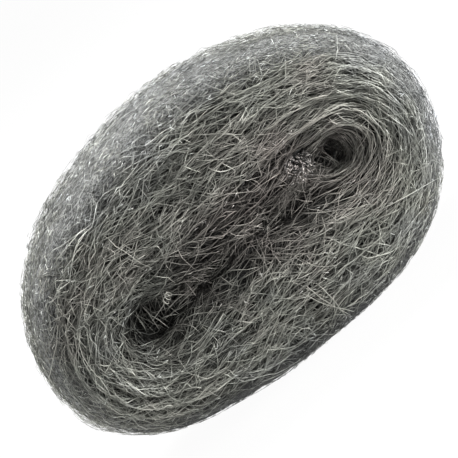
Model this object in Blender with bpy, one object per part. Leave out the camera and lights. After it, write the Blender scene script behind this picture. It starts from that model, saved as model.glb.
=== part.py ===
"""Steel wool roll: one continuous sliver of steel wool, wound flat into an oval roll.

The roll rests on one of its long sides. Y is the winding axis, X the long axis of the oval,
and the origin is on the surface that the roll rests on, below the middle of the oval.
All sizes are in metres.
"""

import math

import bmesh
import bpy
import numpy as np

# The roll's outer size, before its own weight presses the underside flat.
LENGTH = 0.100
HEIGHT = 0.065
SLIVER_WIDTH = 0.046
PRESSED_DEPTH = 0.0012

# The hollow core that the innermost turn folds round: a slit with a round pocket at each end.
SLIT_LENGTH = 0.057
POCKET_WIDTH = 0.0070
SLIT_MIDDLE_WIDTH = 0.0010
SLIT_MIDDLE_REACH = 0.0195
SLIT_SINK_LIMIT = 0.9

# The winding. A position along it is counted in turns, and 0, 1, 2 and so on are at the +X end.
TURNS = 7
SLIVER_START = 0.66
SLIVER_END = 0.63
TURN_GAP = 0.0005
END_RADIUS = 0.017
TAIL_SHARE = 0.22

# The wound ends have rounded shoulders and a sunken core. The outer wrap leans in towards them.
SHOULDER_DROP = 0.0052
CORE_DROP = 0.0050
CORE_DROP_POWER = 3.0
WRAP_LEAN = 0.0046
WRAP_LEAN_FROM = 0.35
WRAP_LEAN_POWER = 2.5
WRAP_RISES = (0.82, 0.58)

# Each turn's edge is a pair of ridges with a furrow between them.
EDGE_ROUNDING = 0.0016
EDGE_FURROW = 0.0009
EDGE_PLACES = (-1.0, -0.56, 0.0, 0.56, 1.0)

# Locks of fibres rise and sink over the wound ends, as waves round the turn and across it.
LOCK_RISE = 0.00062
LOCK_SEED = 3
LOCK_WAVES = 26
LOCKS_ROUND = 4.5
LOCKS_ACROSS = 6.5
LOCK_CREST = 1.6

# Both wound ends are hollowed round the mouths of the pockets.
MOUTH_REACH = (0.0054, 0.0044)
MOUTH_DEPTH = 0.0028

# The front end also sinks at the cut start of the sliver, and in two places along the slit.
START_SETBACK = 0.0070
START_HEIGHT = 0.0040
START_REACH = (0.0036, 0.0026)
START_DEPTH = 0.0024
SAG_SHARES = (0.21, -0.32)
SAG_REACH = (0.0048, 0.0019)
SAG_DEPTH = 0.0016

# The uneven lay of a roll wound by hand: (waves in a turn, share of the height, phase in turns).
LAY_WANDER = 0.0006
LAY_WAVES = ((2, 1.0, 0.11), (3, 0.7, 0.43))

# Its outline is uneven too, in the same terms, and most of all at the outer wrap.
OUTLINE_WANDER = 0.00075
OUTLINE_WAVES = ((3, 1.0, 0.64), (4, 0.55, 0.94), (6, 0.27, 0.935))

SHARP_EDGE = math.radians(50)

# The longest step between two sections of the sliver, along it and in its turning.
SECTION_STEP = 0.0088
SECTION_TURN = math.radians(20)

# Points of the tables from which the ovals and the sliver's path are read.
PATH_PLACES = 24000
TABLE_LEVELS = 97
TABLE_ANGLES = 1441
TABLE_PLACES = 769
NORMAL_STEP = 0.02

WOOL_COLOUR = (0.125, 0.125, 0.118, 1.0)


def mix(low, high, share):
    return low + (high - low) * share


def clear_scene():
    for old in list(bpy.data.objects):
        bpy.data.objects.remove(old)


def oval(level):
    """One closed oval of the winding, from level 0 at the core to level 1 at the outer wrap.

    It is an ellipse grown outwards by a circle, so its ends stay round right down to the
    pockets, where the ellipse has shrunk to a line. The sides of the core then sink inwards.
    """
    angle = np.linspace(0.0, 2 * math.pi, TABLE_ANGLES)
    rounding = mix(POCKET_WIDTH / 2, END_RADIUS, level)
    reach_x = mix(SLIT_LENGTH / 2, LENGTH / 2, level) - rounding
    reach_z = max(mix(POCKET_WIDTH / 2, HEIGHT / 2, level) - rounding, 1e-6)
    cosine, sine = np.cos(angle), np.sin(angle)
    spread = np.hypot(reach_x * cosine, reach_z * sine)
    x = reach_x**2 * cosine / spread + rounding * cosine
    z = reach_z**2 * sine / spread + rounding * sine
    return x, z


def sink_core(x, z, level):
    """Moves the sides of the core towards each other between its two pockets."""
    deepest = (POCKET_WIDTH - SLIT_MIDDLE_WIDTH) / 2
    sunk = deepest * np.exp(-((x / SLIT_MIDDLE_REACH) ** 4)) * (1 - level) ** 3
    return z - np.sign(z) * np.minimum(sunk, np.abs(z) * SLIT_SINK_LIMIT)


def winding_table():
    """The place of each (level, share of the way round), spaced evenly along every oval."""
    around = np.linspace(0.0, 1.0, TABLE_PLACES)
    table = np.zeros((TABLE_LEVELS, TABLE_PLACES, 2))
    for row, level in enumerate(np.linspace(0.0, 1.0, TABLE_LEVELS)):
        x, z = oval(level)
        along = np.concatenate([[0.0], np.cumsum(np.hypot(np.diff(x), np.diff(z)))])
        x = np.interp(around * along[-1], along, x)
        z = np.interp(around * along[-1], along, z)
        table[row, :, 0] = x
        table[row, :, 1] = sink_core(x, z, level)
    return table


def read_table(table, turn, level):
    """The place at a position in turns and at a level, read between the table's entries."""
    rows, columns = table.shape[0] - 1, table.shape[1] - 1
    at_row = np.clip(level, 0.0, 1.0) * rows
    at_column = (turn % 1.0) * columns
    row = np.minimum(at_row.astype(int), rows - 1)
    column = np.minimum(at_column.astype(int), columns - 1)
    down, right = (at_row - row)[..., None], (at_column - column)[..., None]
    upper = mix(table[row, column], table[row, column + 1], right)
    lower = mix(table[row + 1, column], table[row + 1, column + 1], right)
    return mix(upper, lower, down)


def first_and_last_turn():
    """Where the sliver starts beside the core, and where it ends on the outer wrap, in turns."""
    return SLIVER_START, TURNS + SLIVER_END


def layer_share():
    """How much of the way from the core to the outer wrap one layer of the sliver takes."""
    first, last = first_and_last_turn()
    return 1.0 / (last - first - 1.0 + 2 * TAIL_SHARE)


def sliver_levels(table, turn):
    """The levels of the sliver's inner and outer face, which thin out at both of its ends."""
    first, _ = first_and_last_turn()
    layer = layer_share()
    inner = np.clip((turn - first - 1.0 + TAIL_SHARE) * layer, 0.0, 1.0)
    outer = np.clip((turn - first + TAIL_SHARE) * layer, 0.0, 1.0)
    thickness = np.linalg.norm(
        read_table(table, turn, outer) - read_table(table, turn, inner), axis=-1
    )
    gap = (outer - inner) * TURN_GAP / thickness
    return inner + gap / 2 * (inner > 0), outer - gap / 2 * (outer < 1)


def section_places(table):
    """Positions of the sections along the sliver, closer together where it bends.

    Every quarter turn has a section of its own, so that the roll reaches its full length
    and width.
    """
    first, last = first_and_last_turn()
    fine = np.linspace(first, last, PATH_PLACES)
    inner, outer = sliver_levels(table, fine)
    path = read_table(table, fine, (inner + outer) / 2)
    step = np.diff(path, axis=0)
    heading = np.unwrap(np.arctan2(step[:, 1], step[:, 0]))
    turning = np.abs(np.diff(heading, append=heading[-1]))
    cost = np.hypot(step[:, 0], step[:, 1]) / SECTION_STEP + turning / SECTION_TURN
    spent = np.concatenate([[0.0], np.cumsum(cost)])
    quarters = np.arange(math.floor(first * 4) + 1, math.ceil(last * 4)) / 4
    stops = np.concatenate([[first], quarters, [last]])
    places = [np.array([first])]
    for start, stop in zip(stops[:-1], stops[1:], strict=True):
        low, high = np.interp([start, stop], fine, spent)
        count = max(1, math.ceil(high - low))
        wanted = np.linspace(low, high, count + 1)[1:]
        places.append(np.interp(wanted, spent, fine))
    return np.concatenate(places)


def edge_outline():
    """The outline of a section as (across, rise, drop) rows, going round it once.

    Across is -1 on the inner face and 1 on the outer. Rise is 1 at the front wound end and
    -1 at the back. Drop is how far, in metres, a point of the edge lies inside that end.
    """
    drops = (EDGE_ROUNDING, 0.0, EDGE_FURROW, 0.0, EDGE_ROUNDING)
    front = [(across, 1.0, drop) for across, drop in zip(EDGE_PLACES, drops, strict=True)]
    back = [(across, -1.0, drop) for across, _, drop in reversed(front)]
    rises = [*WRAP_RISES, *(-rise for rise in reversed(WRAP_RISES))]
    outer_face = [(1.0, rise, 0.0) for rise in rises]
    inner_face = [(-1.0, rise, 0.0) for rise in reversed(rises)]
    return np.array(front + outer_face + back + inner_face)


def reach_of_end(level):
    """How far a wound end stands from the roll's middle plane at a level."""
    dome = SHOULDER_DROP * level**4 + CORE_DROP * (1 - level) ** CORE_DROP_POWER
    return SLIVER_WIDTH / 2 - dome


def lock_rise(turn, band):
    """How high the locks stand: random plane waves with whole numbers round the turn.

    The band is 0 at the core and 1 at the shoulder of the front end, and 2 to 3 on the back.
    The sum of the waves is scaled so that a usual crest has the named rise.
    """
    rng = np.random.default_rng(LOCK_SEED)
    rounds = np.round(rng.normal(0.0, LOCKS_ROUND, LOCK_WAVES))
    crossings = rng.normal(0.0, LOCKS_ACROSS, LOCK_WAVES)
    phases = rng.uniform(0.0, 2 * math.pi, LOCK_WAVES)
    angle = 2 * math.pi * (turn[:, None] * rounds + band[:, None] * crossings) + phases
    return LOCK_RISE * np.sin(angle).sum(axis=1) * math.sqrt(2.0 / LOCK_WAVES) / LOCK_CREST


def deepest_of(flat, hollows):
    """How deep a wound end is hollowed at each place: the deepest of some flat-bottomed ovals.

    A hollow is the (x, z) of its middle, its reaches along x and z, and its depth.
    """
    depth = np.zeros(len(flat))
    for middle, reach, deepest in hollows:
        away = (((flat - middle) / reach) ** 2).sum(axis=1)
        depth = np.maximum(depth, deepest * np.exp(-(away**2)))
    return depth


def hollow_depth(flat, at_front):
    """The mouths of the pockets on both wound ends, with the front end's other hollows."""
    pocket = (SLIT_LENGTH - POCKET_WIDTH) / 2
    mouths = [((side * pocket, 0.0), MOUTH_REACH, MOUTH_DEPTH) for side in (1, -1)]
    start = ((pocket - START_SETBACK, START_HEIGHT), START_REACH, START_DEPTH)
    sags = [((share * SLIT_LENGTH / 2, 0.0), SAG_REACH, SAG_DEPTH) for share in SAG_SHARES]
    return np.where(at_front, deepest_of(flat, [*mouths, start, *sags]), deepest_of(flat, mouths))


def swing(turn, waves_in_turn):
    """The sum of some waves, each (waves in a turn, share of the height, phase in turns)."""
    return sum(
        share * np.sin(2 * math.pi * (waves * turn + phase)) for waves, share, phase in waves_in_turn
    )


def wander(turn, level):
    """How far a layer wanders outwards, between the core and the outer wrap and at the wrap."""
    lay = LAY_WANDER * swing(turn, LAY_WAVES) * 4 * level * (1 - level)
    return lay + OUTLINE_WANDER * swing(turn, OUTLINE_WAVES) * level**2


def place(table, turn, level, rise, drop):
    """The point at a position in turns, a level and a rise, on the roll's rounded form.

    The locks raise the wound ends, and the hollows lower them.
    """
    outer = np.minimum(level + NORMAL_STEP, 1.0)
    outward = read_table(table, turn, outer) - read_table(table, turn, outer - NORMAL_STEP)
    outward /= np.linalg.norm(outward, axis=-1)[..., None]
    lean = np.clip((np.abs(rise) - WRAP_LEAN_FROM) / (1 - WRAP_LEAN_FROM), 0.0, 1.0)
    shift = wander(turn, level) - WRAP_LEAN * lean**WRAP_LEAN_POWER * level**2
    flat = read_table(table, turn, level) + outward * shift[..., None]
    at_front = rise > 0
    uneven = lock_rise(turn, np.where(at_front, level, 3 - level)) - hollow_depth(flat, at_front)
    depth = rise * (reach_of_end(level) + uneven - drop)
    return np.stack([flat[:, 0], -depth, flat[:, 1]], axis=-1)


def sliver_sections(table):
    """The outline of the sliver at each of its sections, as points in space."""
    sections = []
    outline = edge_outline()
    for turn in section_places(table):
        inner, outer = sliver_levels(table, np.array([turn]))
        level = mix(inner[0], outer[0], (outline[:, 0] + 1) / 2)
        thin = min(1.0, (outer[0] - inner[0]) / layer_share())
        at = np.full(len(outline), turn)
        sections.append(place(table, at, level, outline[:, 1], outline[:, 2] * thin))
    return sections


def set_down(sections):
    """Stands the roll on the ground plane, with its underside pressed flat against it.

    Its two long ends are brought equally far from the origin.
    """
    points = np.array(sections)
    points[..., 0] -= (points[..., 0].min() + points[..., 0].max()) / 2
    ground = points[..., 2].min() + PRESSED_DEPTH
    points[..., 2] = np.maximum(points[..., 2] - ground, 0.0)
    return points


def loft(name, sections):
    """A closed solid through outlines that have the same number of points, capped at its ends."""
    shape = bmesh.new()
    rings = [[shape.verts.new(point) for point in section] for section in sections]
    for near, far in zip(rings[:-1], rings[1:], strict=True):
        for i in range(len(near)):
            shape.faces.new((near[i - 1], near[i], far[i], far[i - 1]))
    shape.faces.new(rings[0])
    shape.faces.new(rings[-1])
    bmesh.ops.recalc_face_normals(shape, faces=shape.faces)
    mesh = bpy.data.meshes.new(name)
    shape.to_mesh(mesh)
    shape.free()
    mesh.shade_smooth()
    mesh.set_sharp_from_angle(angle=SHARP_EDGE)
    return bpy.data.objects.new(name, mesh)


def wool_material():
    material = bpy.data.materials.new("steel_wool")
    material.use_nodes = True
    shader = material.node_tree.nodes["Principled BSDF"]
    shader.inputs["Base Color"].default_value = WOOL_COLOUR
    shader.inputs["Metallic"].default_value = 0.85
    shader.inputs["Roughness"].default_value = 0.5
    return material


def build():
    clear_scene()
    collection = bpy.data.collections.new("steel_wool_roll")
    bpy.context.scene.collection.children.link(collection)
    roll = loft("wool_roll", set_down(sliver_sections(winding_table())))
    roll.data.materials.append(wool_material())
    collection.objects.link(roll)


build()
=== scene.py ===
"""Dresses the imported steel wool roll: thousands of steel fibres laid along its wound sliver.

The roll's surface is one sheet with two parameters. The turn goes round the oval once from 0
to 1. The band runs from the wall of the core, over the front wound end, the outer wrap and the
back wound end, and into the core again. Fibres are paths drawn on that sheet.
"""

import math

import bpy
import numpy as np
from mathutils import Matrix, Vector


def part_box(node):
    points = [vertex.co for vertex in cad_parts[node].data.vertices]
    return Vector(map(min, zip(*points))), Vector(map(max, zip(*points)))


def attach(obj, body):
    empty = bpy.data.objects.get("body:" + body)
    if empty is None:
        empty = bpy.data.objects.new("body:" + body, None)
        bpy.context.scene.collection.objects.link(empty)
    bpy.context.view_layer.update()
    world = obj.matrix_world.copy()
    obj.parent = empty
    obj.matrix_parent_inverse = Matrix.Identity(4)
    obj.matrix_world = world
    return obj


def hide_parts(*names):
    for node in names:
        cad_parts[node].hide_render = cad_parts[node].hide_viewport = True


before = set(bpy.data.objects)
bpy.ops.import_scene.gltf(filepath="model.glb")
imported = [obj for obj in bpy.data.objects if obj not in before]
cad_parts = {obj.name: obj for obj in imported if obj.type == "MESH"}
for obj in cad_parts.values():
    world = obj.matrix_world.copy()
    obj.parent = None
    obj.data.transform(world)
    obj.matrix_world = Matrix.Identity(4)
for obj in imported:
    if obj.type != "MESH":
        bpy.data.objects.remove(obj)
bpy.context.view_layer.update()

LOW, HIGH = (np.array(corner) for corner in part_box("wool_roll"))
SEED = 41

# The roll's form in metres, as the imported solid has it.
LENGTH = 0.100
HEIGHT = 0.065
SLIVER_WIDTH = 0.046
SLIT_LENGTH = 0.057
POCKET_WIDTH = 0.0070
SLIT_MIDDLE_WIDTH = 0.0010
SLIT_MIDDLE_REACH = 0.0195
END_RADIUS = 0.017
SLIVER_START = 0.66
LAYERS = 6.41
SHOULDER_DROP = 0.0052
CORE_DROP = 0.0050
CORE_DROP_POWER = 3.0
WRAP_LEAN = 0.0046
WRAP_LEAN_FROM = 0.35
WRAP_LEAN_POWER = 2.5
LAY_WANDER = 0.0006
LAY_WAVES = ((2, 1.0, 0.11), (3, 0.7, 0.43))
OUTLINE_WANDER = 0.00075
OUTLINE_WAVES = ((3, 1.0, 0.64), (4, 0.55, 0.94), (6, 0.27, 0.935))
CORE_WALL_DEPTH = 0.017
POCKET_MIDDLE = (SLIT_LENGTH - POCKET_WIDTH) / 2

# The sliver's tail makes a low step in the wrap: (turn, share of the whole outline) places.
TAIL_PLACES = ((0.0, 1.0), (0.61, 1.0), (0.65, 0.968), (0.98, 1.0), (1.0, 1.0))

# The bands of the surface: wall of the core, front end, outer wrap, back end, wall of the core.
BANDS = (-1.0, 0.0, 1.0, 2.0, 3.0, 4.0)
WRAP_MIDDLE = 1.5

# The table of ovals, and how finely each oval is followed before it is spaced evenly.
TABLE_LEVELS = 65
TABLE_PLACES = 577
ARC_PLACES = 1441
LEAST_REACH = 1e-6
MOST_SUNK = 0.9
LEVEL_STEP = 0.02
TANGENT_STEP = 1e-3
TINY = 1e-12


def mix(low, high, share):
    """The value at a share of the way from low to high."""
    return low + (high - low) * share


def unit(vectors):
    """Vectors of length 1 along the given ones."""
    return vectors / (np.linalg.norm(vectors, axis=-1)[..., None] + TINY)


def inward_of(band):
    """The band as counted at the nearer wound end: below 0 in the core, 1 at the shoulder."""
    return np.minimum(band, 2 * WRAP_MIDDLE - band)


# The form of the roll


def oval_table():
    """Places of each (level, share of the way round): an ellipse grown outwards by a circle.

    Level 0 is the core's slit with its two round pockets, level 1 the outer wrap. Points are
    spaced evenly along each oval, and the slit's sides sink towards each other in the middle.
    """
    angle = np.linspace(0.0, 2 * np.pi, ARC_PLACES)
    around = np.linspace(0.0, 1.0, TABLE_PLACES)
    table = np.zeros((TABLE_LEVELS, TABLE_PLACES, 2))
    for row, level in enumerate(np.linspace(0.0, 1.0, TABLE_LEVELS)):
        rounding = mix(POCKET_WIDTH / 2, END_RADIUS, level)
        reach_x = mix(SLIT_LENGTH / 2, LENGTH / 2, level) - rounding
        reach_z = max(mix(POCKET_WIDTH / 2, HEIGHT / 2, level) - rounding, LEAST_REACH)
        spread = np.hypot(reach_x * np.cos(angle), reach_z * np.sin(angle))
        x = reach_x**2 * np.cos(angle) / spread + rounding * np.cos(angle)
        z = reach_z**2 * np.sin(angle) / spread + rounding * np.sin(angle)
        along = np.concatenate([[0.0], np.cumsum(np.hypot(np.diff(x), np.diff(z)))])
        x = np.interp(around * along[-1], along, x)
        z = np.interp(around * along[-1], along, z)
        deepest = (POCKET_WIDTH - SLIT_MIDDLE_WIDTH) / 2
        sunk = deepest * np.exp(-((x / SLIT_MIDDLE_REACH) ** 4)) * (1 - level) ** 3
        table[row, :, 0] = x
        table[row, :, 1] = z - np.sign(z) * np.minimum(sunk, np.abs(z) * MOST_SUNK)
    return table


OVALS = oval_table()


def on_oval(turn, level):
    """The (x, z) place at a turn and a level, read between the table's entries."""
    at_row = np.clip(level, 0.0, 1.0) * (TABLE_LEVELS - 1)
    at_column = (turn % 1.0) * (TABLE_PLACES - 1)
    row = np.minimum(at_row.astype(int), TABLE_LEVELS - 2)
    column = np.minimum(at_column.astype(int), TABLE_PLACES - 2)
    down, right = (at_row - row)[..., None], (at_column - column)[..., None]
    upper = mix(OVALS[row, column], OVALS[row, column + 1], right)
    lower = mix(OVALS[row + 1, column], OVALS[row + 1, column + 1], right)
    return mix(upper, lower, down)


def outward_of(turn, level):
    """The unit direction in the oval's plane from one oval to the next one out."""
    outer = np.clip(level + LEVEL_STEP, LEVEL_STEP, 1.0)
    step = on_oval(turn, outer) - on_oval(turn, outer - LEVEL_STEP)
    return step / np.linalg.norm(step, axis=-1)[..., None]


def swing(turn, waves_in_turn):
    """The sum of some waves, each (waves in a turn, share of the height, phase in turns)."""
    return sum(share * np.sin(2 * np.pi * (rate * turn + phase)) for rate, share, phase in waves_in_turn)


def wander(turn, level):
    """How far a layer wanders outwards, between the core and the outer wrap and at the wrap."""
    lay = LAY_WANDER * swing(turn, LAY_WAVES) * 4 * level * (1 - level)
    return lay + OUTLINE_WANDER * swing(turn, OUTLINE_WAVES) * level**2


def outer_box():
    """The lowest and highest (x, z) of the outer wrap's oval, with its wander."""
    turn = np.linspace(0.0, 1.0, TABLE_PLACES)
    level = np.ones_like(turn)
    flat = on_oval(turn, level) + outward_of(turn, level) * wander(turn, level)[:, None]
    return flat.min(axis=0), flat.max(axis=0)


OUTER_LOW, OUTER_HIGH = outer_box()
SHIFT = -(OUTER_LOW[0] + OUTER_HIGH[0]) / 2
GROUND = HIGH[2] - OUTER_HIGH[1]


def sheet_point(turn, band):
    """The point of the roll's surface at a turn and a band, before it's set on the ground.

    The two wound ends are domed: they stand back at the core and far more at the shoulder. The
    wrap between them is straight in its middle and leans in towards the shoulders. The walls of
    the core narrow inwards to the line of the slit, because loose wool fills it further in.
    """
    side = np.where(band < WRAP_MIDDLE, -1.0, 1.0)
    inward = inward_of(band)
    level = np.clip(inward, 0.0, 1.0) * np.interp(turn % 1.0, *zip(*TAIL_PLACES))
    end = SLIVER_WIDTH / 2 - SHOULDER_DROP * level**4
    end = end - CORE_DROP * (1 - level) ** CORE_DROP_POWER
    into_core = np.clip(-inward, 0.0, 1.0)
    rise = np.where(inward > 1.0, np.clip(2 * np.abs(band - WRAP_MIDDLE), 0.0, 1.0), 1.0)
    lean = np.clip((rise - WRAP_LEAN_FROM) / (1 - WRAP_LEAN_FROM), 0.0, 1.0)
    shift = wander(turn, level) - WRAP_LEAN * lean**WRAP_LEAN_POWER * level**2
    flat = on_oval(turn, level) + outward_of(turn, level) * shift[..., None]
    line = np.stack([np.clip(flat[..., 0], -POCKET_MIDDLE, POCKET_MIDDLE), 0 * level], axis=-1)
    narrowing = 1 - (1 - into_core) ** 2
    flat = mix(flat, line, narrowing[..., None])
    y = side * (rise * end - into_core * CORE_WALL_DEPTH)
    return np.stack([flat[..., 0], y, flat[..., 1]], axis=-1)


def sheet_frame(turn, band):
    """The surface's point, its two tangents (each per unit of turn and band) and its normal."""
    step = TANGENT_STEP
    point = sheet_point(turn, band)
    along = (sheet_point(turn + step, band) - sheet_point(turn - step, band)) / (2 * step)
    across = (sheet_point(turn, band + step) - sheet_point(turn, band - step)) / (2 * step)
    return point, along, across, unit(np.cross(across, along))


def set_down(points, least):
    """Moves points up to stand on the ground, and presses flat what is below the least height."""
    out = points + (SHIFT, 0.0, 0.0)
    out[..., 2] = np.maximum(out[..., 2] + GROUND, least)
    return out


# The lay of the wool


def waves(seed, count, turn_rate, band_rate):
    """Random plane waves over (turn, band): whole numbers round the turn, so they close on it."""
    rng = np.random.default_rng(seed)
    return (
        np.round(rng.normal(0.0, turn_rate, count)),
        rng.normal(0.0, band_rate, count),
        rng.uniform(0.0, 2 * np.pi, count),
    )


RELIEF_SPREAD = 1.6


def relief(field, turn, band):
    """The sum of a field's waves, scaled to about -1 to 1, and its slope over band."""
    rates, cross_rates, phases = field
    angle = 2 * np.pi * (turn[..., None] * rates + band[..., None] * cross_rates) + phases
    scale = math.sqrt(2.0 / len(rates)) / RELIEF_SPREAD
    slope = (np.cos(angle) * 2 * np.pi * cross_rates).sum(-1) * scale
    return np.sin(angle).sum(-1) * scale, slope


LOCKS = waves(3, 26, 4.5, 6.5)
TUFTS = waves(4, 30, 22.0, 15.0)
TURN_RIDGE_RISE = 0.00030
LOCK_RISE = 0.00062
TUFT_RISE = 0.00030
RIDGE_FADE = 8
RIDGES_TO = 1.06
WRAP_CALM = 0.30
WRAP_CALM_FROM = 0.35
WRAP_CALM_OVER = 0.45

# The hollows of the wound ends, as (x, z) from the oval's middle, reaches and depth.
MOUTHS = (
    ((POCKET_MIDDLE, 0.0), (0.0054, 0.0044), 0.0028),
    ((-POCKET_MIDDLE, 0.0), (0.0060, 0.0037), 0.0024),
)
START_PLACE = (POCKET_MIDDLE - 0.0070, 0.0040)
FRONT_HOLLOWS = (
    *MOUTHS,
    (START_PLACE, (0.0036, 0.0026), 0.0024),
    ((0.0068, -0.0008), (0.0055, 0.0020), 0.0024),
    ((-0.0088, -0.0008), (0.0048, 0.0019), 0.0018),
    ((-0.0175, -0.0003), (0.0070, 0.0026), 0.0024),
)
HOLLOW_IN_WALL = 0.45


def deepest_of(point, hollows):
    """How deep a wound end is hollowed at each point: the deepest of some flat-bottomed ovals."""
    flat = point[..., [0, 2]]
    depth = np.zeros(flat.shape[:-1])
    for middle, reach, deepest in hollows:
        away = (((flat - middle) / reach) ** 2).sum(axis=-1)
        depth = np.maximum(depth, deepest * np.exp(-(away**2)))
    return depth


def hollow_at(point):
    """The depth of the pockets' mouths on both ends, and of the front end's other hollows."""
    front = point[..., 1] < 0
    return np.where(front, deepest_of(point, FRONT_HOLLOWS), deepest_of(point, MOUTHS))


def hollow_depth(band, point):
    """How far the surface gives way: in the core's walls only by a small share of the hollow."""
    return hollow_at(point) * np.where(inward_of(band) < 0, HOLLOW_IN_WALL, 1.0)


def turn_ridge(turn, band):
    """1 on the middle of a turn's edge and -1 in the furrow between two turns, on wound ends."""
    inward = inward_of(band)
    share = (np.clip(inward, 0.0, 1.0) * LAYERS - ((turn - SLIVER_START) % 1.0)) % 1.0
    on_end = np.clip(inward * RIDGE_FADE, 0, 1) * np.clip((RIDGES_TO - inward) * RIDGE_FADE, 0, 1)
    return np.cos(2 * np.pi * (share - 0.5)) * on_end


def lay_height(turn, band, point):
    """How far the wool stands above the surface: the turns' ridges, locks and small tufts.

    The wrap is pressed by the hand that wound it, so its locks and tufts stand lower, and the
    hollows of the front wound end are taken off.
    """
    locks, _ = relief(LOCKS, turn, band)
    tufts, _ = relief(TUFTS, turn, band)
    from_middle = np.abs(band - WRAP_MIDDLE)
    pressed = np.clip((from_middle - WRAP_CALM_FROM) / WRAP_CALM_OVER, WRAP_CALM, 1.0)
    rise = LOCK_RISE * locks + TUFT_RISE * tufts
    rise = TURN_RIDGE_RISE * turn_ridge(turn, band) + pressed * rise
    return rise - hollow_depth(band, point)


# Light on the wool


# Pairs are for the wool elsewhere and in the front's brighter pocket.
CORE_LIGHT = (0.24, 0.80)
BACK_CORE_LIGHT = 0.50
HOLLOW_DARKEST = (0.0031, 0.0120)
WALL_DARKENING = (6.0, 1.0)
LIGHT_FROM = -0.05
LIGHT_TO = 0.36
UNDERSIDE_FROM = 0.42
UNDERSIDE_OVER = 0.4
UNDERSIDE_PRESSED = 0.9
# painted shade on the wool that faces the ground
UNDERSIDE_DARKER = 0.42
BRIGHT_POCKET = (0.0272, 0.0)
BRIGHT_POCKET_REACH = (0.0080, 0.0072)

# Broad patches of painted light and shade on the wool, as (x, z) from the oval's middle, reach and
# share.
PAINTED_LIGHT_PATCHES = (
    ((-0.004, 0.018), (0.030, 0.008), -0.17),
    ((0.021, 0.029), (0.015, 0.009), -0.14),
    ((-0.030, 0.006), (0.016, 0.006), -0.20),
    ((-0.017, 0.010), (0.010, 0.007), -0.22),
    ((-0.035, -0.001), (0.010, 0.005), -0.20),
    ((-0.045, -0.015), (0.011, 0.015), 0.54),
    ((0.006, -0.008), (0.018, 0.005), 0.07),
    ((0.028, 0.000), (0.011, 0.011), 0.42),
    ((-0.014, -0.030), (0.017, 0.006), -0.16),
    ((0.026, -0.025), (0.016, 0.010), 0.60),
    ((0.049, 0.000), (0.006, 0.026), -0.16),
)


def soft_oval(point, middle, reach):
    """1 at the middle of an oval in x and z, and less and less away from it."""
    return np.exp(-(((point[..., [0, 2]] - middle) / reach) ** 2).sum(axis=-1))


def core_light(band, point):
    """How much light reaches the wool: least at the slit, all of it from halfway outwards."""
    share = np.clip((inward_of(band) - LIGHT_FROM) / (LIGHT_TO - LIGHT_FROM), 0.0, 1.0)
    least = mix(*CORE_LIGHT, soft_oval(point, BRIGHT_POCKET, BRIGHT_POCKET_REACH))
    least = np.where(point[..., 1] < 0, least, BACK_CORE_LIGHT)
    return mix(least, 1.0, share * share * (3 - 2 * share))


def underside(normal):
    """1 where the surface faces the ground, 0 from a little past its sides upwards."""
    return np.clip((-normal[..., 2] - UNDERSIDE_FROM) / UNDERSIDE_OVER, 0.0, 1.0)


def hollow_light(band, point):
    """How much light is left in the hollows and down the core's walls, most in one pocket."""
    bright = soft_oval(point, BRIGHT_POCKET, BRIGHT_POCKET_REACH)
    wall = np.exp(mix(*WALL_DARKENING, bright) * np.minimum(inward_of(band), 0.0))
    return (1 - hollow_at(point) / mix(*HOLLOW_DARKEST, bright)) * wall


def patch_light(point):
    """How much darker or brighter the wool is painted by place, as painted light and shade in broad soft
    ovals.
    """
    light = np.ones(point.shape[:-1])
    for middle, reach, share in PAINTED_LIGHT_PATCHES:
        light += share * soft_oval(point, middle, reach)
    return light


# Fibres


LEAN_TO_CRESTS = 0.16
CREST_SLOPE = 0.02
CREST_MOST = 0.5
LEAST_STRETCH = 1e-9


def walk(place, heading, lengths, bends, height):
    """Walks fibres over the surface, all of them at once, and returns their points and light.

    The points are (fibre, step, xyz). The light is first that by nearness to the core and then
    that by depth in a hollow, by patch and on the underside. At each step a fibre moves by a
    share of its length, at its heading to the turn, which its bends change and which leans
    towards the crests of the locks. Its height above the surface is the wool's relief there
    and the fibre's own height at that step, pressed flat on the underside.
    """
    turn, band = place
    steps = bends.shape[1] - 1
    stride = lengths / steps
    points = np.zeros((len(turn), steps + 1, 3))
    light = np.zeros((2, len(turn), steps + 1))
    for step in range(steps + 1):
        point, along, across, normal = sheet_frame(turn, band)
        under = underside(normal)
        rise = lay_height(turn, band, point) + height[:, step]
        rise = rise - UNDERSIDE_PRESSED * under * np.maximum(rise, 0.0)
        points[:, step] = point + normal * rise[:, None]
        light[0, :, step] = core_light(band, point)
        light[1, :, step] = hollow_light(band, point) * patch_light(point)
        light[1, :, step] *= 1 - UNDERSIDE_DARKER * under
        _, slope = relief(LOCKS, turn, band)
        lean = LEAN_TO_CRESTS * np.clip(slope * CREST_SLOPE, -CREST_MOST, CREST_MOST)
        now = heading + bends[:, step] + lean * np.sign(np.cos(heading))
        turn = turn + np.cos(now) * stride / (np.linalg.norm(along, axis=-1) + LEAST_STRETCH)
        band = band + np.sin(now) * stride / (np.linalg.norm(across, axis=-1) + LEAST_STRETCH)
        band = np.clip(band, BANDS[0], BANDS[-1])
    return points, light


def centred(steps):
    """A running sum along each fibre, less its mean, so that it bends both ways alike."""
    total = np.cumsum(steps, axis=1)
    return total - total.mean(axis=1, keepdims=True)


KINK_TURN = 0.75


def fibre_bends(rng, of, steps, lay):
    """How each fibre's heading changes along it: an even bow, a wobble and a few sharp kinks.

    Half of the bow is the lock's, which all its fibres share.
    """
    count = len(of)
    share = np.linspace(-0.5, 0.5, steps + 1)
    bow = rng.normal(0.0, lay["bow"], of[-1] + 1)[of] + rng.normal(0.0, lay["bow"], count)
    wobble = centred(rng.normal(0.0, lay["wobble"], (count, steps + 1)))
    sharp = rng.uniform(size=(count, steps + 1)) < lay["kinks"] / steps
    kinks = centred(sharp * rng.normal(0.0, KINK_TURN, (count, steps + 1)))
    return bow[:, None] * share + wobble + kinks


SIDES = 3
NEAR_Y = 0.8
TAPER_RATE = 8
TAPER_FROM = 0.45


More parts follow.
